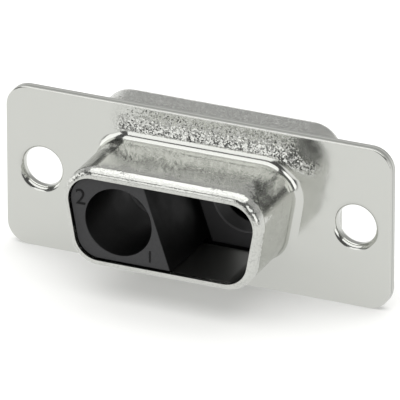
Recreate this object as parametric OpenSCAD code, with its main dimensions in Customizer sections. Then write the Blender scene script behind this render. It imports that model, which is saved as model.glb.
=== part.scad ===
// D-sub contact insert of the 9-way shell size, socket side, for two large round contacts.
// +X runs along the flange, +Z points to the wide side of the D and -Y out of the mating side.
// The origin is midway between the mounting holes, on the front face of the flange.
// The modules are drawn lying down, with the mating side up, the wide side of the D towards +Y
// and the front face of the flange at height 0. stand() turns them into the part's frame.

/* [Flange] */
// Width of the flange
flange_w = 30.6; // [29:0.01:40]
// Height of the flange
flange_h = 12.7; // [12.3:0.01:16]
// Corner radius of the flange
flange_r = 1.7; // [0.5:0.1:3]
// Radius that punching leaves along the outer edges of the two flanges
edge_roll = 0.1; // [0.02:0.01:0.15]
// Thickness of the front shell's sheet
front_sheet = 0.4; // [0.3:0.05:0.5]
// Thickness of the rear shell's sheet
rear_sheet = 0.4; // [0.3:0.05:0.5]

/* [Mounting holes] */
// Distance from the end of the flange to the axis of a mounting hole
hole_edge = 2.805; // [2.6:0.005:4]
// Clear diameter of a mounting hole
hole_d = 3.1; // [2.5:0.05:3.3]
// Radius with which the front sheet is drawn into a mounting hole
entry_r = 0.45; // [0.4:0.05:0.6]
// Wall thickness of the collar drawn through the rear flange
collar_wall = 0.3; // [0.2:0.05:0.35]
// Radius with which the collar is spread behind the rear flange
spread_r = 0.4; // [0.36:0.02:0.5]
// How far the spread rim laps the rear flange
rim_lap = 0.3; // [0.1:0.05:0.35]

/* [Front shell] */
// Outside width of the D at its wide side
cup_w = 15.7; // [15:0.01:18]
// Outside height of the D
cup_h = 7.55; // [7.2:0.01:8.6]
// Lean of the D's sides in degrees
cup_lean = 10; // [4:1:14]
// Corner radius of the D on the outside of the wall
cup_r = 2.4; // [1.8:0.1:2.4]
// Depth of the D in front of the flange
cup_depth = 6.6; // [5:0.05:8]
// Outside radius of the rim, which turns inwards
rim_r = 0.55; // [0.45:0.05:1]
// Radius of the hollow corner between flange and wall
base_r = 0.65; // [0.2:0.05:0.8]

/* [Rear shell] */
// Outside width of the rear body
rear_w = 19; // [18.6:0.01:19.4]
// Outside height of the rear body
rear_h = 10.72; // [10:0.01:11]
// Corner radius of the rear body on the outside of the wall
rear_r = 2.3; // [1.5:0.1:2.5]
// Depth of the rear body behind the rear flange
rear_depth = 4.5; // [3.5:0.1:6]
// Outside radius of the rear body's back edge
rear_rim_r = 0.7; // [0.5:0.05:0.8]
// How far the back edge reaches in from the outside of the wall
rear_rim_in = 1.1; // [0.9:0.05:1.4]
// Radius of the hollow corner between rear flange and rear wall
rear_base_r = 0.3; // [0.15:0.05:0.4]

/* [Insulator] */
// Gap between the insulator and the shells around it
seat_gap = 0.1; // [0.05:0.01:0.2]
// Gap between the raised block and the rim of the D
rim_gap = 0.12; // [0.05:0.01:0.25]
// How far the face of the raised block lies behind the rim
face_inset = 0.27; // [0.1:0.01:0.5]
// Thickness of the front half's collar behind the front flange
collar_depth = 2.4; // [2:0.1:2.6]
// Depth of the well's floor behind the back of the front flange
well_floor = 0.6; // [0.2:0.05:0.8]
// Lean of the raised block's side towards the well, in degrees
block_lean = 18.5; // [5:0.5:20]
// Least wall between the raised block's side and its contact cavity
block_wall = 0.2; // [0.1:0.02:0.4]
// How far the rear half stands proud of the rear shell
rear_proud = 0.4; // [0:0.05:1]

/* [Contact cavities] */
// Distance between the axes of the two cavities
cavity_pitch = 6.86; // [6.6:0.02:7.2]
// Diameter of a cavity
cavity_d = 5.3; // [5:0.05:5.6]
// Diameter of the recess in which a contact's spring clip opens
clip_d = 6; // [5.8:0.05:6.5]
// Length of that recess
clip_length = 0.9; // [0.5:0.05:1.2]
// Width of the lead-in bevel at the back of a cavity
lead_in = 0.25; // [0.1:0.05:0.4]

/* [Hidden] */
$fn = 96;
// Overshoot of a cutting tool past the face that it leaves through
over = 0.5;
// Width of the flat foot by which a drawn wall's section runs on into its flange
foot = 0.3;
// How far the two halves of a wall run past the middle into each other
lap = 0.1;
// Angle by which the sweep round a corner runs on into the next straight side
turn_lap = 0.001;
tin_plate = "#c8c9c4";
black_moulding = "#2d2d2f";

hole_r = hole_d / 2;
hole_x = flange_w / 2 - hole_edge;
cavity_r = cavity_d / 2;
cavity_x = cavity_pitch / 2;

// Heights: the front flange lies below 0, and all that is behind it follows from there.
rear_flange_top = -front_sheet;
rear_flange_back = -front_sheet - rear_sheet;
rear_back = rear_flange_back - rear_depth;
split = -front_sheet - collar_depth;
floor_top = -front_sheet - well_floor;
block_face = cup_depth - face_inset;
// The block steps in where the rim of the D starts to turn inwards
block_step = cup_depth - rim_r;
// Where the side of the raised block crosses the middle of the D
block_x = -cavity_x + (cavity_r + block_wall) / cos(block_lean);

// An outline is a four-sided figure with round corners, as wide as w at the top and leaning
// in by lean degrees towards the bottom: [top corner x, bottom corner x, corner y, radius, lean]
function outline(w, h, r, lean) =
    let (x = w / 2 - r, y = h / 2 - r)
    [x, x - 2 * y * tan(lean), y, r, lean];
function side_length(o) = 2 * o[2] / cos(o[4]);
// The sharp-cornered figure that lies the distance d outside an outline's corner centres
function sharp(o, d) =
    let (
        top = o[0] + d * (1 + sin(o[4])) / cos(o[4]),
        bottom = o[1] + d * (1 - sin(o[4])) / cos(o[4])
    )
    [[top, o[2] + d], [-top, o[2] + d], [-bottom, -o[2] - d], [bottom, -o[2] - d]];
// The opening in a flange, whose edge runs about halfway along the foot of the drawn wall
function opening(w, h, r, lean, base) =
    let (margin = base + foot / 2)
    outline(w + 2 * margin, h + 2 * margin, r + base, lean);

flange_line = outline(flange_w, flange_h, flange_r, 0);
cup_line = outline(cup_w, cup_h, cup_r, cup_lean);
cup_opening = opening(cup_w, cup_h, cup_r, cup_lean, base_r);
rear_line = outline(rear_w, rear_h, rear_r, 0);
rear_opening = opening(rear_w, rear_h, rear_r, 0, rear_base_r);

// Lays a drawn piece into the part's frame, mating side forward
module stand() {
    rotate([90, 0, 0])
        children();
}

// The flat figure inside an outline, grown outwards by grow: a disc at each corner and a strip
// along each side, drawn from the same corner centres as the walls that carry_round() makes
module figure(o, grow = 0) {
    lean = o[4];
    r = o[3] + grow;
    side = side_length(o);
    polygon(sharp(o, r / 2));
    for (half = [0, 1])
        mirror([half, 0])
            translate([o[0], o[2]]) {
                circle(r);
                translate([-o[0] - lap, 0])
                    square([o[0] + lap, r]);
                rotate(-lean)
                    translate([0, -side]) {
                        circle(r);
                        square([r, side]);
                        rotate(lean)
                            translate([-o[1] - lap, -r])
                                square([o[1] + lap, r]);
                    }
            }
}

// A slab with that figure between two heights
module slab(o, low, high, grow = 0) {
    translate([0, 0, low])
        linear_extrude(high - low)
            figure(o, grow);
}

// Runs a section straight on for a length along +y
module run(length) {
    translate([0, length, 0])
        rotate([90, 0, 0])
            linear_extrude(length)
                children();
}

// Carries a section round an outline. The section's x runs outwards from the corner centres,
// so its wall stays equally thick along the sides and round the corners. Each half hangs
// together from its top corner, and the two halves lap a little in the middle.
module carry_round(o) {
    lean = o[4];
    side = side_length(o);
    for (half = [0, 1])
        mirror([half, 0, 0])
            translate([o[0], o[2], 0]) {
                rotate(90)
                    run(o[0] + lap)
                        children();
                rotate(-lean) {
                    rotate_extrude(angle = 90 + lean + turn_lap)
                        children();
                    translate([0, -side, 0]) {
                        run(side)
                            children();
                        mirror([0, 1, 0])
                            rotate_extrude(angle = 90 - lean + turn_lap)
                                children();
                        rotate(lean - 90)
                            translate([0, -o[1] - lap, 0])
                                run(o[1] + lap)
                                    children();
                    }
                }
            }
}

// Quarter of a bent sheet, in the corner between +x and +y, outside radius r
module bend(r, thick) {
    intersection() {
        difference() {
            circle(r);
            circle(r - thick);
        }
        square(r);
    }
}

// Section of a drawn wall: from a flat foot in the flange it rises in a hollow bend of radius
// base, and it ends in a rim that turns inwards with radius rim and reaches in by inwards.
module drawn_section(r, thick, depth, base, rim, inwards) {
    translate([r + base, -thick])
        square([foot, thick]);
    translate([r + base, base])
        rotate(180)
            bend(base + thick, thick);
    translate([r - thick, base])
        square([thick, depth - rim - base]);
    translate([r - rim, depth - rim])
        bend(rim, thick);
    if (inwards > rim)
        translate([r - inwards, depth - thick])
            square([inwards - rim, thick]);
}

// The sliver that punching takes off the top outer edge of a flange
module punched_edge(o, roll) {
    carry_round(o)
        translate([o[3] - roll, -roll])
            difference() {
                square(roll + over);
                circle(roll);
            }
}

// Puts a thing at both mounting holes
module at_holes() {
    for (side = [-1, 1])
        translate([side * hole_x, 0, 0])
            children();
}

// Puts a thing at both contact cavities
module at_cavities() {
    for (side = [-1, 1])
        translate([side * cavity_x, 0, 0])
            children();
}

// A flange with its top face at height 0, open inside the line given
module flange(thick, opening, hole) {
    difference() {
        slab(flange_line, -thick, 0);
        slab(opening, -thick - over, over);
        at_holes()
            translate([0, 0, -thick - over])
                cylinder(r = hole, h = thick + 2 * over);
        punched_edge(flange_line, edge_roll);
    }
}

// Section of the collar that holds the shells together: the front sheet is drawn into the
// mounting hole, passes through the rear flange and is spread behind it.
module collar_section() {
    hollow = entry_r - collar_wall;
    shoulder = hole_r + collar_wall;
    inner = spread_r - collar_wall;
    spread_top = rear_flange_back + inner;
    difference() {
        translate([hole_r, spread_top])
            square([entry_r, -spread_top]);
        translate([hole_r, -entry_r])
            difference() {
                square(entry_r);
                translate([entry_r, 0])
                    circle(entry_r);
            }
        translate([shoulder + hollow, -front_sheet - hollow])
            circle(hollow);
        translate([shoulder, spread_top])
            square([hollow, -spread_top - front_sheet - hollow]);
    }
    translate([hole_r + spread_r, spread_top])
        rotate(180)
            bend(spread_r, collar_wall);
    translate([hole_r + spread_r, rear_flange_back - collar_wall])
        square([entry_r + rim_lap - spread_r, collar_wall]);
}

module front_shell() {
    color(tin_plate)
        stand() {
            flange(front_sheet, cup_opening, hole_r + entry_r);
            carry_round(cup_line)
                drawn_section(cup_r, front_sheet, cup_depth, base_r, rim_r, rim_r);
            at_holes()
                rotate_extrude()
                    collar_section();
        }
}

module rear_shell() {
    color(tin_plate)
        stand()
            translate([0, 0, rear_flange_back])
                mirror([0, 0, 1]) {
                    flange(rear_sheet, rear_opening, hole_r + entry_r + seat_gap / 2);
                    carry_round(rear_line)
                        drawn_section(rear_r, rear_sheet, rear_depth, rear_base_r,
                            rear_rim_r, rear_rim_in);
                }
}

// The half plane on the block's side of the line between block and well
module block_side() {
    translate([block_x, 0])
        rotate(block_lean)
            translate([-flange_w, -flange_w])
                square([flange_w, 2 * flange_w]);
}

module front_insulator() {
    seat = -front_sheet - seat_gap;
    color(black_moulding)
        stand()
            difference() {
                union() {
                    slab(rear_line, split, rear_flange_top, -rear_sheet - seat_gap);
                    intersection() {
                        union() {
                            slab(cup_line, split, block_step, seat);
                            slab(cup_line, split, block_face, -rim_r - rim_gap);
                        }
                        translate([0, 0, split])
                            linear_extrude(block_face - split)
                                block_side();
                    }
                }
                // the well's floor lies deeper than the collar's front face
                difference() {
                    slab(cup_line, floor_top, rear_flange_top + over);
                    translate([0, 0, split])
                        linear_extrude(block_face - split)
                            block_side();
                }
                at_cavities()
                    translate([0, 0, split - over])
                        cylinder(r = cavity_r, h = block_face - split + 2 * over);
            }
}

module rear_insulator() {
    back = rear_back - rear_proud;
    color(black_moulding)
        stand()
            difference() {
                union() {
                    slab(rear_line, rear_back + rear_rim_r, split, -rear_sheet - seat_gap);
                    // the collar steps in past the bend of the rear shell's back edge
                    slab(rear_line, rear_back + rear_sheet, split, -rear_rim_r);
                    slab(rear_line, back, split, -rear_rim_in - seat_gap);
                }
                at_cavities() {
                    translate([0, 0, back - over])
                        cylinder(r = cavity_r, h = split - back + 2 * over);
                    translate([0, 0, back])
                        cylinder(r1 = cavity_r + lead_in, r2 = cavity_r, h = lead_in);
                    translate([0, 0, split - clip_length])
                        cylinder(d = clip_d, h = clip_length + over);
                }
            }
}

front_shell();
rear_shell();
front_insulator();
rear_insulator();
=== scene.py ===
import math

import bpy
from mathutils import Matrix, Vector


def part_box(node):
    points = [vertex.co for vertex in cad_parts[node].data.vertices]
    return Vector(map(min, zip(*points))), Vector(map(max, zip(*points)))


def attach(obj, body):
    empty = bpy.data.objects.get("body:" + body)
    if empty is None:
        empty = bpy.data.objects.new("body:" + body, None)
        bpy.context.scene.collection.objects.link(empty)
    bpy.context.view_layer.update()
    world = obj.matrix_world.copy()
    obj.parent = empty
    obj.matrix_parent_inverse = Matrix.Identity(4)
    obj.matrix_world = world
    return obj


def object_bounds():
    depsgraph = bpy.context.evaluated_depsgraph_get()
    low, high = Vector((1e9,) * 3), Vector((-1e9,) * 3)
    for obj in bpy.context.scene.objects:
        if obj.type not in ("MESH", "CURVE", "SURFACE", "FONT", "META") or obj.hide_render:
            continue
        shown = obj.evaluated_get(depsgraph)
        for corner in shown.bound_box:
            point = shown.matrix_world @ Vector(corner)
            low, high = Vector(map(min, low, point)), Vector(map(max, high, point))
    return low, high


bl_info = {
    "name": "D-sub insert finish",
    "version": (1, 0, 0),
    "blender": (4, 5, 0),
    "location": "View3D > Sidebar > D-sub",
    "description": "Finishes, cavity numbers and studio for a D-sub contact insert",
    "category": "Object",
}

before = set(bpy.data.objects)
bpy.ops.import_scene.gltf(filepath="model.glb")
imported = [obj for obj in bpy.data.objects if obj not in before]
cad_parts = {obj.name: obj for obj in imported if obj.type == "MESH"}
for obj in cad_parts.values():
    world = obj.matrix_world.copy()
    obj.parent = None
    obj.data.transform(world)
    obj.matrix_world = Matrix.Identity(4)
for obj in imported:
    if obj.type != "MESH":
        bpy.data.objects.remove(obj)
CAD_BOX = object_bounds()

MM = 0.001
# half sizes, corner radius and lean of the D outside its wall, the flange's corner, its sheet
D_HALF = (7.85 * MM, 3.775 * MM)
D_CORNER = 2.4 * MM
D_LEAN = math.radians(10)
FLANGE_CORNER = 1.7 * MM
SHEET = 0.4 * MM
# what the camera looks at
AIM = (0.244 * MM, 0, -0.192 * MM)
# cavity numbers: middle x and z, and size; the 1 is smaller, to fit its narrow corner
NUMBERS = {"2": (-6.42 * MM, 1.45 * MM, 1.0), "1": (-0.93 * MM, -2.32 * MM, 0.75)}
# size of the font for digits one metre tall
FONT_PER_HEIGHT = 1.4
# brightness that the paper gains for the camera, and how far metal mirrors it evened out
PAPER_LIFT = 0.16
PAPER_EVENED = 0.75
WHITE = (1.0, 1.0, 1.0, 1.0)

# ---------------------------------------------------------------- colours and nodes


def linear(code):
    """An sRGB hex code as linear red, green and blue."""
    values = [int(code[i : i + 2], 16) / 255 for i in (1, 3, 5)]
    return tuple(v / 12.92 if v <= 0.04045 else ((v + 0.055) / 1.055) ** 2.4 for v in values)


def shade(colour, factor=1.0):
    """A colour with alpha, made lighter or darker by a factor."""
    return tuple(min(1.0, c * factor) for c in colour) + (1.0,)


def add(tree, kind, links=None, **settings):
    """Adds a node. links gives sockets or values by input name or number."""
    made = tree.nodes.new(kind)
    for name, value in settings.items():
        setattr(made, name, value)
    for name, value in (links or {}).items():
        socket = made.inputs[name]
        if isinstance(value, bpy.types.NodeSocket):
            tree.links.new(value, socket)
        else:
            socket.default_value = value
    return made


def new_material(name):
    """An empty material with its output, and the tree to build in."""
    material = bpy.data.materials.new(name)
    material.use_nodes = True
    material.node_tree.nodes.clear()
    return material, material.node_tree


def ramp(tree, value, low, high, to_low=0.0, to_high=1.0):
    """A value from low..high turned smoothly into to_low..to_high."""
    return add(
        tree,
        "ShaderNodeMapRange",
        {"Value": value, "From Min": low, "From Max": high, "To Min": to_low, "To Max": to_high},
        interpolation_type="SMOOTHSTEP",
    ).outputs["Result"]


def ramp_plain(tree, value, low, high, to_low=0.0, to_high=1.0):
    """A value from low..high turned evenly into to_low..to_high."""
    return add(
        tree,
        "ShaderNodeMapRange",
        {"Value": value, "From Min": low, "From Max": high, "To Min": to_low, "To Max": to_high},
    ).outputs["Result"]


def per_metre(size):
    """The texture scale whose features are about size metres apart."""
    return 1.0 / size


# ---------------------------------------------------------------- settings


class TinPlateSettings(bpy.types.PropertyGroup):
    """Tin-plated steel of the two shells."""

    colour: bpy.props.FloatVectorProperty(
        name="Tin",
        description="Colour of the satin tin plating",
        subtype="COLOR",
        size=3,
        min=0.0,
        max=1.0,
        default=linear("#cfd0cb"),
    )
    roughness: bpy.props.FloatProperty(
        name="Roughness",
        description="How dull the plating is",
        subtype="FACTOR",
        min=0.0,
        max=1.0,
        default=0.13,
    )
    grain: bpy.props.FloatProperty(
        name="Grain",
        description="Distance between the spangles that pressing leaves in the tin",
        unit="LENGTH",
        min=0.00002,
        max=0.001,
        default=0.12 * MM,
    )
    tilt: bpy.props.FloatProperty(
        name="Tilt",
        description="Most that a spangle leans where the sheet was drawn",
        subtype="ANGLE",
        min=0.0,
        max=math.radians(30),
        default=math.radians(9),
    )
    waves: bpy.props.FloatProperty(
        name="Waves",
        description="Height of the shallow waves in the plating",
        unit="LENGTH",
        min=0.0,
        max=0.0001,
        default=0.003 * MM,
    )
    shoulder: bpy.props.FloatProperty(
        name="Shoulder",
        description="Height of the soft shoulder behind the rim of the D",
        unit="LENGTH",
        min=0.0,
        max=0.0005,
        default=0.21 * MM,
    )
    swell: bpy.props.FloatProperty(
        name="Swell",
        description="Height to which drawing pulls the flange up round the D",
        unit="LENGTH",
        min=0.0,
        max=0.0005,
        default=0.34 * MM,
    )
    swell_reach: bpy.props.FloatProperty(
        name="Swell reach",
        description="Width of that swell round the foot of the D",
        unit="LENGTH",
        min=0.0001,
        max=0.005,
        default=1.5 * MM,
    )


class MouldingSettings(bpy.types.PropertyGroup):
    """Black glass-filled PBT of the two insulator halves."""

    colour: bpy.props.FloatVectorProperty(
        name="Moulding",
        description="Colour of the moulded plastic",
        subtype="COLOR",
        size=3,
        min=0.0,
        max=1.0,
        default=linear("#3f3f40"),
    )
    roughness: bpy.props.FloatProperty(
        name="Roughness",
        description="How dull the moulded skin is",
        subtype="FACTOR",
        min=0.0,
        max=1.0,
        default=0.42,
    )
    fibre: bpy.props.FloatProperty(
        name="Fibre spacing",
        description="Distance between the glass fibres that show in the skin",
        unit="LENGTH",
        min=0.00001,
        max=0.001,
        default=0.06 * MM,
    )


class NumberSettings(bpy.types.PropertyGroup):
    """Position numbers moulded beside the contact cavities."""

    height: bpy.props.FloatProperty(
        name="Height",
        description="Height of a full-size number",
        unit="LENGTH",
        min=0.0002,
        max=0.003,
        default=1.25 * MM,
    )
    relief: bpy.props.FloatProperty(
        name="Relief",
        description="How far a number stands proud of the insulator's face",
        unit="LENGTH",
        min=0.00001,
        max=0.0002,
        default=0.03 * MM,
    )


class StageSettings(bpy.types.PropertyGroup):
    """Camera, floor and lamps."""

    azimuth: bpy.props.FloatProperty(
        name="Azimuth",
        description="Direction of the camera to the right of straight ahead",
        subtype="ANGLE",
        default=math.radians(23.8),
    )
    elevation: bpy.props.FloatProperty(
        name="Elevation",
        description="Height of the camera above the horizon",
        subtype="ANGLE",
        default=math.radians(24.9),
    )
    distance: bpy.props.FloatProperty(
        name="Distance",
        description="Distance from the camera to what it looks at",
        unit="LENGTH",
        min=0.05,
        default=0.6,
    )
    across: bpy.props.FloatProperty(
        name="Field",
        description="Width of the view at that distance",
        unit="LENGTH",
        min=0.005,
        default=29.16 * MM,
    )
    floor_colour: bpy.props.FloatVectorProperty(
        name="Floor",
        description="Colour of the paper that the insert stands on",
        subtype="COLOR",
        size=3,
        min=0.0,
        max=1.0,
        default=linear("#dfdfdd"),
    )


class InsertSettings(bpy.types.PropertyGroup):
    """All settings of the insert and its stage."""

    tin: bpy.props.PointerProperty(type=TinPlateSettings)
    moulding: bpy.props.PointerProperty(type=MouldingSettings)
    numbers: bpy.props.PointerProperty(type=NumberSettings)
    stage: bpy.props.PointerProperty(type=StageSettings)


# ---------------------------------------------------------------- finishes


def beyond(tree, spot, half, corner, lean=0.0):
    """Distance beyond a figure with round corners in the flange's plane.

    The half sizes are those at its top, and its sides lean in downwards.
    """
    slope = math.tan(lean)
    wide, tall = half[0] - corner, half[1] - corner
    up = add(tree, "ShaderNodeMath", {0: spot["Z"]}, operation="ABSOLUTE").outputs[0]
    up = add(tree, "ShaderNodeMath", {0: up, 1: tall}, operation="SUBTRACT").outputs[0]
    up = add(tree, "ShaderNodeMath", {0: up, 1: 0.0}, operation="MAXIMUM").outputs[0]
    out = add(tree, "ShaderNodeMath", {0: spot["X"]}, operation="ABSOLUTE").outputs[0]
    side = add(
        tree,
        "ShaderNodeMath",
        {0: spot["Z"], 1: slope, 2: wide - tall * slope},
        operation="MULTIPLY_ADD",
    ).outputs[0]
    out = add(tree, "ShaderNodeMath", {0: out, 1: side}, operation="SUBTRACT").outputs[0]
    out = add(tree, "ShaderNodeMath", {0: out, 1: 0.0}, operation="MAXIMUM").outputs[0]
    # the two directions are not square to each other at a corner
    skew = add(tree, "ShaderNodeMath", {0: spot["Z"]}, operation="SIGN").outputs[0]
    skew = add(tree, "ShaderNodeMath", {0: skew, 1: slope}, operation="MULTIPLY").outputs[0]
    out = add(
        tree, "ShaderNodeMath", {0: up, 1: skew, 2: out}, operation="MULTIPLY_ADD"
    ).outputs[0]
    reach = add(tree, "ShaderNodeCombineXYZ", {0: out, 1: up}).outputs[0]
    reach = add(tree, "ShaderNodeVectorMath", {0: reach}, operation="LENGTH").outputs["Value"]
    return add(tree, "ShaderNodeMath", {0: reach, 1: corner}, operation="SUBTRACT").outputs[0]


def tin_plated_steel(name, settings, front):
    """Bright tin electroplated on drawn steel sheet.

    The flat flange keeps an even satin skin. Where the sheet was drawn its surface roughens to
    fine light and dark spangles, while the tight bends were ironed smooth by the die and shine
    like mirrors. The punched outer edge shows a bright sheared band and a dull broken one.
    """
    material, tree = new_material(name)
    place = add(tree, "ShaderNodeTexCoord").outputs["Object"]
    spot = add(tree, "ShaderNodeSeparateXYZ", {0: place}).outputs
    low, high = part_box("front_shell")
    # real spangles are some hundredths of a millimetre apart; these are coarser, so they show
    grains = add(
        tree, "ShaderNodeTexVoronoi", {"Vector": place, "Scale": per_metre(settings.grain)}
    ).outputs
    # stains and clouds in the plating, about 1.5 mm across
    clouds = add(
        tree,
        "ShaderNodeTexNoise",
        {"Vector": place, "Scale": per_metre(1.5 * MM), "Detail": 3.0, "Roughness": 0.6},
    ).outputs["Fac"]
    # how far a place lies from the wall of the D
    off_wall = beyond(tree, spot, D_HALF, D_CORNER, D_LEAN)
    if front:
        # the flange is rough only above the wide side of the D, where the sheet drew in most
        near = ramp(tree, off_wall, 3.4 * MM, 1.2 * MM)
        above = ramp(tree, spot["Z"], 2.8 * MM, 4.2 * MM)
        near = add(tree, "ShaderNodeMath", {0: near, 1: above}, operation="MULTIPLY").outputs[0]
        # and less so at its left end
        side = ramp(tree, spot["X"], -7.4 * MM, -5.4 * MM)
        near = add(tree, "ShaderNodeMath", {0: near, 1: side}, operation="MULTIPLY").outputs[0]
        # the foot of the D, between the flange's face and the straight wall
        bend = add(
            tree,
            "ShaderNodeMath",
            {
                0: ramp(tree, spot["Y"], -0.75 * MM, -0.5 * MM),
                1: ramp(tree, spot["Y"], -0.004 * MM, -0.03 * MM),
            },
            operation="MULTIPLY",
        ).outputs[0]
        # the wall is rough in patches, and more evenly so towards its rim
        patchy = ramp(tree, clouds, 0.42, 0.6, 0.05, 0.55)
        wall = ramp(tree, spot["Y"], -0.4 * MM, -0.7 * MM)
        rim = ramp(tree, spot["Y"], low.y + 0.9 * MM, low.y + 0.5 * MM, 0.0, 0.3)
        patchy = add(tree, "ShaderNodeMath", {0: patchy, 1: rim}, operation="MAXIMUM").outputs[0]
        drawn = add(
            tree, "ShaderNodeMix", {"Factor": wall, "A": near, "B": patchy}, data_type="FLOAT"
        ).outputs[0]
        ironed = add(
            tree, "ShaderNodeMath", {0: 1.0, 1: bend}, operation="SUBTRACT", use_clamp=True
        ).outputs[0]
        # inside the D the skin is smooth but dull, and its colour is darkened there as painted
        # shade of the dark well inside the shell
        inside = add(
            tree,
            "ShaderNodeMath",
            {
                0: ramp(tree, off_wall, -0.24 * MM, -0.3 * MM),
                1: ramp(tree, spot["Y"], low.y + 0.5 * MM, low.y + 0.9 * MM),
            },
            operation="MULTIPLY",
        ).outputs[0]
        outside = add(tree, "ShaderNodeMath", {0: 1.0, 1: inside}, operation="SUBTRACT").outputs[0]
        drawn = add(tree, "ShaderNodeMath", {0: drawn, 1: outside}, operation="MULTIPLY").outputs[0]
        drawn = add(tree, "ShaderNodeMath", {0: drawn, 1: ironed}, operation="MULTIPLY").outputs[0]
    else:
        # the box behind is a little rough, its flange hardly
        drawn = ramp(tree, spot["Y"], 0.85 * MM, 1.3 * MM, 0.05, 0.35)
    # each spangle leans its own way
    lean = add(
        tree, "ShaderNodeVectorMath", {0: grains["Color"], 1: (0.5, 0.5, 0.5)}, operation="SUBTRACT"
    ).outputs[0]
    arm = add(
        tree, "ShaderNodeVectorMath", {0: place, 1: grains["Position"]}, operation="SUBTRACT"
    ).outputs[0]
    relief = add(
        tree, "ShaderNodeVectorMath", {0: arm, 1: lean}, operation="DOT_PRODUCT"
    ).outputs["Value"]
    relief = add(tree, "ShaderNodeMath", {0: relief, 1: drawn}, operation="MULTIPLY").outputs[0]
    skin = add(
        tree,
        "ShaderNodeBump",
        {"Height": relief, "Distance": 2 * math.tan(settings.tilt), "Strength": 1.0},
    ).outputs["Normal"]
    # the plating is never quite flat: shallow waves some millimetres long
    skin = add(
        tree,
        "ShaderNodeBump",
        {"Height": clouds, "Distance": settings.waves, "Strength": 1.0, "Normal": skin},
    ).outputs["Normal"]
    if front:
        # the wall rounds softly into its rim
        shoulder = ramp(tree, spot["Y"], low.y + 0.25 * MM, low.y + 1.15 * MM)
        shoulder = add(
            tree, "ShaderNodeMath", {0: shoulder, 1: outside}, operation="MULTIPLY"
        ).outputs[0]
        skin = add(
            tree,
            "ShaderNodeBump",
            {"Height": shoulder, "Distance": settings.shoulder, "Strength": 1.0, "Normal": skin},
        ).outputs["Normal"]
        # drawing pulls the flange up a little round the foot of the D
        swell = ramp_plain(tree, off_wall, 0.65 * MM, 0.65 * MM + settings.swell_reach, 1.0, 0.0)
        swell = add(tree, "ShaderNodeMath", {0: swell, 1: 2.0}, operation="POWER").outputs[0]
        swell = add(tree, "ShaderNodeMath", {0: swell, 1: above}, operation="MULTIPLY").outputs[0]
        swell = add(tree, "ShaderNodeMath", {0: swell, 1: side}, operation="MULTIPLY").outputs[0]
        skin = add(
            tree,
            "ShaderNodeBump",
            {"Height": swell, "Distance": settings.swell, "Strength": 1.0, "Normal": skin},
        ).outputs["Normal"]
    dull = ramp(tree, clouds, 0.35, 0.7, settings.roughness * 0.8, settings.roughness * 1.3)
    # some spangles of the drawn skin are darker
    single = add(tree, "ShaderNodeSeparateXYZ", {0: grains["Color"]}).outputs["X"]
    pores = ramp(tree, single, 0.45, 0.1, 0.0, 0.4)
    pores = add(tree, "ShaderNodeMath", {0: pores, 1: drawn}, operation="MULTIPLY").outputs[0]
    colour = add(
        tree,
        "ShaderNodeMix",
        {"Factor": pores, "A": shade(settings.colour), "B": shade(settings.colour, 0.4)},
        data_type="RGBA",
    ).outputs[2]
    if front:
        dull = add(
            tree, "ShaderNodeMix", {"Factor": inside, "A": dull, "B": 0.35}, data_type="FLOAT"
        ).outputs[0]
        # painted shade: the inside of the D is darkened in colour
        colour = add(
            tree,
            "ShaderNodeMix",
            {"Factor": inside, "A": colour, "B": shade(settings.colour, 0.4)},
            data_type="RGBA",
        ).outputs[2]
    # punched edge of the two flanges: in each sheet a sheared band and a broken one behind it
    half = ((high.x - low.x) / 2, (high.z - low.z) / 2)
    edge = beyond(tree, spot, half, FLANGE_CORNER)
    edge = ramp(tree, edge, -0.03 * MM, -0.01 * MM)
    depth = add(
        tree, "ShaderNodeMath", {0: spot["Y"], 1: 1.0 / SHEET}, operation="MULTIPLY"
    ).outputs[0]
    band = add(tree, "ShaderNodeMath", {0: depth}, operation="FRACT").outputs[0]
    band = ramp(tree, band, 0.45, 0.6)
    bare = add(
        tree,
        "ShaderNodeMix",
        {"Factor": band, "A": shade(settings.colour), "B": shade(settings.colour, 0.7)},
        data_type="RGBA",
    ).outputs[2]
    colour = add(
        tree, "ShaderNodeMix", {"Factor": edge, "A": colour, "B": bare}, data_type="RGBA"
    ).outputs[2]
    dull = add(
        tree, "ShaderNodeMix", {"Factor": edge, "A": dull, "B": 0.42}, data_type="FLOAT"
    ).outputs[0]
    shader = add(
        tree,
        "ShaderNodeBsdfPrincipled",
        {"Base Color": colour, "Metallic": 1.0, "Roughness": dull, "Normal": skin},
    )
    add(tree, "ShaderNodeOutputMaterial", {"Surface": shader.outputs[0]})
    return material


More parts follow.
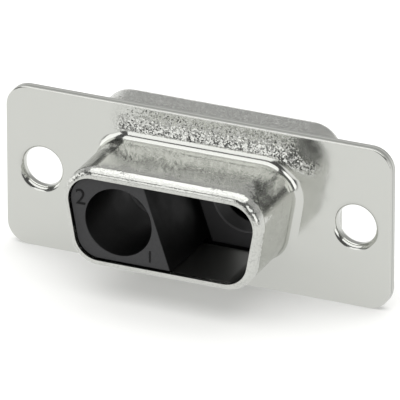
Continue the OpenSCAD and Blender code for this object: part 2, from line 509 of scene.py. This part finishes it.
def moulded_pbt(name, settings, smooth=0.0):
    """Black PBT with glass fibre, moulded against an eroded steel tool.

    The skin is satin, and the fibres under it make it a little uneven. The numbers are smoother,
    and their colour is darkened: painted shade. The pockets are darkened nearly to black as
    painted shade, and the floor of the open pocket is lightened as painted light.
    """
    material, tree = new_material(name)
    place = add(tree, "ShaderNodeTexCoord").outputs["Object"]
    fibres = add(
        tree,
        "ShaderNodeTexNoise",
        {"Vector": place, "Scale": per_metre(settings.fibre), "Detail": 3.0, "Roughness": 0.6},
    ).outputs["Fac"]
    patches = add(
        tree,
        "ShaderNodeTexNoise",
        {"Vector": place, "Scale": per_metre(1.2 * MM), "Detail": 2.0, "Roughness": 0.5},
    ).outputs["Fac"]
    skin = add(
        tree,
        "ShaderNodeBump",
        {"Height": fibres, "Distance": (1 - smooth) * 0.004 * MM, "Strength": 1.0},
    ).outputs["Normal"]
    # everything deeper than the face, short of the back, is darkened nearly to black: painted shade
    # in the pockets and cavities; the faces keep their eroded skin
    depth = add(tree, "ShaderNodeSeparateXYZ", {0: place}).outputs["Y"]
    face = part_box("front_insulator")[0].y
    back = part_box("rear_insulator")[1].y
    wall = ramp(tree, depth, face + 0.02 * MM, face + 0.15 * MM)
    short = ramp(tree, depth, back - 0.02 * MM, back - 0.15 * MM)
    wall = add(tree, "ShaderNodeMath", {0: wall, 1: short}, operation="MULTIPLY").outputs[0]
    # the floor of the open pocket is made lighter in colour: painted light where light reaches it
    floor = ramp(tree, depth, 0.85 * MM, 0.98 * MM)
    short = ramp(tree, depth, 1.4 * MM, 1.1 * MM)
    floor = add(tree, "ShaderNodeMath", {0: floor, 1: short}, operation="MULTIPLY").outputs[0]
    rough = settings.roughness * (1 - 0.4 * smooth)
    dull = ramp(tree, patches, 0.3, 0.7, rough * 0.9, rough * 1.15)
    tone = ramp(tree, fibres, 0.35, 0.75)
    # for the numbers, with smooth at 1, the colour falls to a small part of the skin's: painted
    # shade
    colour = add(
        tree,
        "ShaderNodeMix",
        {
            "Factor": tone,
            "A": shade(settings.colour, 0.88 - 0.75 * smooth),
            "B": shade(settings.colour, 1.12 - 0.95 * smooth),
        },
        data_type="RGBA",
    ).outputs[2]
    # painted shade: the walls of the pockets and cavities nearly black
    colour = add(
        tree,
        "ShaderNodeMix",
        {"Factor": wall, "A": colour, "B": shade(settings.colour, 0.05)},
        data_type="RGBA",
    ).outputs[2]
    # painted light: the floor of the open pocket lighter than the skin
    colour = add(
        tree,
        "ShaderNodeMix",
        {"Factor": floor, "A": colour, "B": shade(settings.colour, 2.2)},
        data_type="RGBA",
    ).outputs[2]
    shader = add(
        tree,
        "ShaderNodeBsdfPrincipled",
        {
            "Base Color": colour,
            "Roughness": dull,
            "IOR": 1.55,
            "Specular IOR Level": 0.15,
            "Normal": skin,
        },
    )
    add(tree, "ShaderNodeOutputMaterial", {"Surface": shader.outputs[0]})
    return material


def dress(node, material):
    """Puts one material on a CAD node."""
    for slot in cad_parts[node].material_slots:
        slot.material = material


class FinishShells(bpy.types.Operator):
    """Gives the two drawn shells their tin plating"""

    bl_idname = "dsub.finish_shells"
    bl_label = "Finish shells"

    def execute(self, context):
        settings = context.scene.dsub.tin
        for node in ("front_shell", "rear_shell"):
            front = node == "front_shell"
            dress(node, tin_plated_steel("tin_plated_steel_" + node, settings, front))
        return {"FINISHED"}


class FinishInsulators(bpy.types.Operator):
    """Gives the two insulator halves their moulded skin"""

    bl_idname = "dsub.finish_insulators"
    bl_label = "Finish insulators"

    def execute(self, context):
        material = moulded_pbt("moulded_pbt", context.scene.dsub.moulding)
        for node in ("front_insulator", "rear_insulator"):
            dress(node, material)
        return {"FINISHED"}


class NumberCavities(bpy.types.Operator):
    """Adds the position numbers of the two contact cavities"""

    bl_idname = "dsub.number_cavities"
    bl_label = "Number cavities"

    def execute(self, context):
        settings = context.scene.dsub.numbers
        material = moulded_pbt("moulded_pbt_numbers", context.scene.dsub.moulding, smooth=1.0)
        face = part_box("front_insulator")[0].y
        for digit, (x, z, size) in NUMBERS.items():
            font = bpy.data.curves.new("digit_" + digit, "FONT")
            font.body = digit
            font.align_x = "CENTER"
            font.align_y = "CENTER"
            font.size = settings.height * FONT_PER_HEIGHT * size
            font.extrude = settings.relief
            shape = bpy.data.objects.new("digit_" + digit, font)
            context.scene.collection.objects.link(shape)
            mesh = bpy.data.meshes.new_from_object(shape)
            bpy.data.objects.remove(shape)
            piece = bpy.data.objects.new("number_" + digit, mesh)
            context.scene.collection.objects.link(piece)
            mesh.materials.clear()
            mesh.materials.append(material)
            piece.location = (x, face, z)
            piece.rotation_euler = (math.radians(90), 0, 0)
            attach(piece, "root")
        return {"FINISHED"}


def paper(settings):
    """Smooth white paper that the insert stands on.

    The camera sees paper everywhere. Metal mirrors it mostly as an even glow that dims from some 40
    to 90 mm in front: a painted reflection, with no table there.
    """
    material, tree = new_material("white_paper")
    surface = add(
        tree,
        "ShaderNodeBsdfPrincipled",
        {"Base Color": shade(settings.floor_colour), "Roughness": 0.9},
    ).outputs[0]
    rays = add(tree, "ShaderNodeLightPath").outputs
    seen = add(
        tree,
        "ShaderNodeMath",
        {0: rays["Is Camera Ray"], 1: rays["Is Transmission Ray"]},
        operation="MAXIMUM",
    ).outputs[0]
    lift = add(tree, "ShaderNodeMath", {0: seen, 1: PAPER_LIFT}, operation="MULTIPLY").outputs[0]
    glow = add(tree, "ShaderNodeEmission", {"Color": WHITE, "Strength": lift}).outputs[0]
    both = add(tree, "ShaderNodeAddShader", {0: surface, 1: glow}).outputs[0]
    # metal mirrors the paper mostly as a nearly even glow, dimmed from some 40 to 90 mm in front:
    # painted reflection
    place = add(tree, "ShaderNodeTexCoord").outputs["Object"]
    front = add(tree, "ShaderNodeSeparateXYZ", {0: place}).outputs["Y"]
    level = ramp(tree, front, -90 * MM, -40 * MM, 0.4, 1.0)
    mirrored = add(tree, "ShaderNodeEmission", {"Color": WHITE, "Strength": level}).outputs[0]
    evened = add(
        tree, "ShaderNodeMath", {0: rays["Is Glossy Ray"], 1: PAPER_EVENED}, operation="MULTIPLY"
    ).outputs[0]
    both = add(tree, "ShaderNodeMixShader", {0: evened, 1: both, 2: mirrored}).outputs[0]
    add(tree, "ShaderNodeOutputMaterial", {"Surface": both})
    return material


# a ceiling of cloth and three low panels: name, middle, width and height in metres, brightness
SOFT_BOXES = (
    ("ceiling", (-0.055, -0.065, 0.5), (0.93, 0.79), 1.35),
    ("front_left", (-0.171, -0.47, 0.155), (0.2, 0.31), 1.3),
    ("left", (-0.485, -0.121, 0.07), (0.34, 0.15), 1.4),
    ("right", (0.42, -0.27, 0.115), (0.31, 0.23), 1.5),
)


def soft_box(name, place, size, level):
    """A soft box as bright as white paper times its level, facing down or level to the insert."""
    light = bpy.data.lights.new(name, "AREA")
    light.shape = "RECTANGLE"
    light.size, light.size_y = size
    light.energy = math.pi * size[0] * size[1] * level
    thing = bpy.data.objects.new(name, light)
    bpy.context.scene.collection.objects.link(thing)
    thing.location = place
    if name != "ceiling":
        level_way = Vector((-place[0], -place[1], 0))
        thing.rotation_euler = level_way.to_track_quat("-Z", "Y").to_euler()
    thing.visible_camera = False
    return thing


def studio_air():
    """Surroundings of the table: a white backdrop that greys upwards, and a dark room in front.

    Polished metal needs dark between the soft boxes to show its shape. Everything else is lit
    evenly from all sides.
    """
    world = bpy.data.worlds.new("studio")
    world.use_nodes = True
    tree = world.node_tree
    tree.nodes.clear()
    way = add(tree, "ShaderNodeTexCoord").outputs["Generated"]
    parts = add(tree, "ShaderNodeSeparateXYZ", {0: way}).outputs
    backdrop = ramp(tree, parts["Z"], 0.02, 0.45, 1.0, 0.45)
    behind = ramp(tree, parts["Y"], -0.1, 0.15)
    mirrored = add(
        tree, "ShaderNodeMix", {"Factor": behind, "A": 0.1, "B": backdrop}, data_type="FLOAT"
    ).outputs[0]
    rays = add(tree, "ShaderNodeLightPath").outputs
    # soft light comes mostly from behind, so the shadow falls to the front
    fill = ramp(tree, parts["Y"], -0.4, 0.4, 0.5, 1.05)
    level = add(
        tree,
        "ShaderNodeMix",
        {"Factor": rays["Is Glossy Ray"], "A": fill, "B": mirrored},
        data_type="FLOAT",
    ).outputs[0]
    seen = add(
        tree,
        "ShaderNodeMath",
        {0: rays["Is Camera Ray"], 1: rays["Is Transmission Ray"]},
        operation="MAXIMUM",
    ).outputs[0]
    level = add(
        tree, "ShaderNodeMix", {"Factor": seen, "A": level, "B": 1.0}, data_type="FLOAT"
    ).outputs[0]
    sky = add(tree, "ShaderNodeBackground", {"Color": WHITE, "Strength": level}).outputs[0]
    add(tree, "ShaderNodeOutputWorld", {"Surface": sky})
    return world


class SetStage(bpy.types.Operator):
    """Sets the floor, the lamps, the surroundings and the camera"""

    bl_idname = "dsub.set_stage"
    bl_label = "Set stage"

    def execute(self, context):
        settings = context.scene.dsub.stage
        scene = context.scene
        low, high = CAD_BOX
        half = 1.5
        mesh = bpy.data.meshes.new("floor")
        mesh.from_pydata(
            [(-half, -half, 0), (half, -half, 0), (half, half, 0), (-half, half, 0)],
            [],
            [(0, 1, 2, 3)],
        )
        mesh.materials.append(paper(settings))
        floor = bpy.data.objects.new("floor", mesh)
        floor.location.z = low.z
        scene.collection.objects.link(floor)
        for name, place, size, level in SOFT_BOXES:
            soft_box(name, place, size, level)
        scene.world = studio_air()
        camera = bpy.data.cameras.new("camera")
        camera.sensor_width = 36.0
        camera.lens = 36.0 * settings.distance / settings.across
        camera.clip_start = 0.01
        camera.clip_end = 10.0
        thing = bpy.data.objects.new("camera", camera)
        scene.collection.objects.link(thing)
        a, e = settings.azimuth, settings.elevation
        back = Vector((math.sin(a) * math.cos(e), -math.cos(a) * math.cos(e), math.sin(e)))
        thing.location = Vector(AIM) + back * settings.distance
        thing.rotation_euler = (-back).to_track_quat("-Z", "Y").to_euler()
        scene.camera = thing
        scene.view_settings.view_transform = "Standard"
        return {"FINISHED"}


class FinishPanel(bpy.types.Panel):
    """Lists the steps that finish the insert"""

    bl_idname = "VIEW3D_PT_dsub_finish"
    bl_label = "D-sub insert"
    bl_space_type = "VIEW_3D"
    bl_region_type = "UI"
    bl_category = "D-sub"

    def draw(self, context):
        settings = context.scene.dsub
        steps = (
            (FinishShells, settings.tin),
            (FinishInsulators, settings.moulding),
            (NumberCavities, settings.numbers),
            (SetStage, settings.stage),
        )
        for operator, group in steps:
            box = self.layout.box()
            for name in group.__annotations__:
                box.prop(group, name)
            box.operator(operator.bl_idname)


CLASSES = (
    TinPlateSettings,
    MouldingSettings,
    NumberSettings,
    StageSettings,
    InsertSettings,
    FinishShells,
    FinishInsulators,
    NumberCavities,
    SetStage,
    FinishPanel,
)


def register():
    for cls in CLASSES:
        bpy.utils.register_class(cls)
    bpy.types.Scene.dsub = bpy.props.PointerProperty(type=InsertSettings)


def unregister():
    del bpy.types.Scene.dsub
    for cls in reversed(CLASSES):
        bpy.utils.unregister_class(cls)


def main():
    """Registers the add-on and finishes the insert."""
    register()
    bpy.ops.dsub.finish_shells()
    bpy.ops.dsub.finish_insulators()
    bpy.ops.dsub.number_cavities()
    bpy.ops.dsub.set_stage()


if __name__ == "__main__":
    main()
